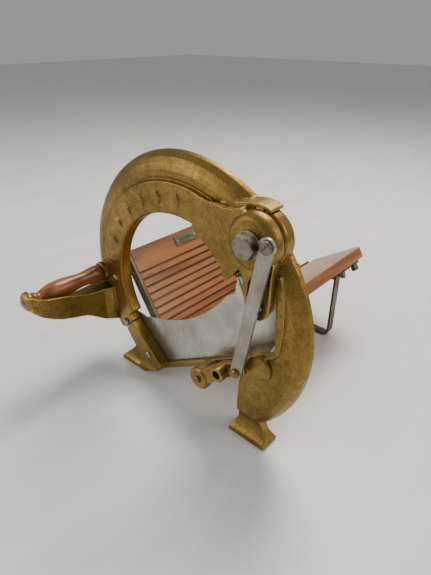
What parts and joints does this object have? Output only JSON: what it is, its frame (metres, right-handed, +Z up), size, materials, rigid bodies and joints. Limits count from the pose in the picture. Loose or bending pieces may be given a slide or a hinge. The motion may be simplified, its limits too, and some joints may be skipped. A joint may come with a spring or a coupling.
{
  "type": "hand lever bread slicer",
  "caption": "Bench slicer: cast ring arm with curved blade and side grip swings on a two-footed cast frame, with link, rocker, gauge socket and a wooden V trough on a folding leg.",
  "frame": {"origin": "middle of the object's footprint, on the ground plane", "axes": "+X to the right along the frame seen from the front, +Y backwards along the trough, +Z up"},
  "size_m": [0.2484, 0.3091, 0.23],
  "materials": {
    "casting": "worn bronze paint over a rough casting",
    "blade_steel": "scratched and slightly stained sheet steel",
    "dark_steel": "darkened",
    "bright_steel": "turned and worn",
    "bush": "plain bearing metal",
    "grip_wood": "varnished, turned",
    "plate_steel": "dull olive grey",
    "board_wood": "satin varnish, planed grooves",
    "leg_steel": "dark, dull"
  },
  "bodies": {
    "frame": {"frame_casting": "casting", "stub_screw": "bright_steel", "pivot_bolt": "bright_steel", "pivot_washer": "bright_steel", "pivot_nut": "bright_steel", "rocker_pin": "casting", "front_plate": "plate_steel", "plate_screws": "bright_steel", "board_brackets": "plate_steel", "bracket_screws": "dark_steel", "left_board": "board_wood", "right_board": "board_wood", "board_screws": "dark_steel", "label_plate": "plate_steel", "label_pins": "bright_steel", "hinge_brackets": "leg_steel", "hinge_pins": "bright_steel", "leg_catch": "dark_steel"},
    "arm": {"arm_casting": "casting", "blade": "blade_steel", "blade_screws": "dark_steel", "blade_nuts": "dark_steel", "ring_screw": "bright_steel", "pivot_bush": "bush", "link_screw": "bright_steel", "link_spacer": "bright_steel", "grip_rod": "dark_steel"},
    "link": {"link_bar": "blade_steel"},
    "rocker": {"gauge_rocker": "casting", "link_stud": "casting"},
    "grip": {"grip": "grip_wood"},
    "leg": {"support_leg": "leg_steel"}
  },
  "joints": [
    {"name": "arm_lift", "type": "hinge", "parent": "frame", "child": "arm", "pos_m": [0.07975, -0.07045, 0.187], "axis": [0, 1, 0], "range_deg": [0, 55]},
    {"name": "link_swing", "type": "hinge", "parent": "arm", "child": "link", "pos_m": [0.09625, -0.07045, 0.1915], "axis": [0, 1, 0], "range_deg": [-62, 0]},
    {"name": "rocker_turn", "type": "hinge", "parent": "frame", "child": "rocker", "pos_m": [0.03175, -0.07045, 0.047], "axis": [0, 1, 0], "range_deg": [0, 22]},
    {"name": "grip_spin", "type": "hinge", "parent": "arm", "child": "grip", "pos_m": [-0.10925, -0.11, 0.0975], "axis": [0, 1, 0], "continuous": true},
    {"name": "leg_fold", "type": "hinge", "parent": "frame", "child": "leg", "pos_m": [-0.02512, 0.11355, 0.02766], "axis": [-0.8434, 0, -0.5373], "range_deg": [0, 85]}
  ],
  "couplings": [
    {"joint": "link_swing", "follows": "arm_lift", "ratio": -1.11},
    {"joint": "rocker_turn", "follows": "arm_lift", "ratio": 0.384}
  ]
}
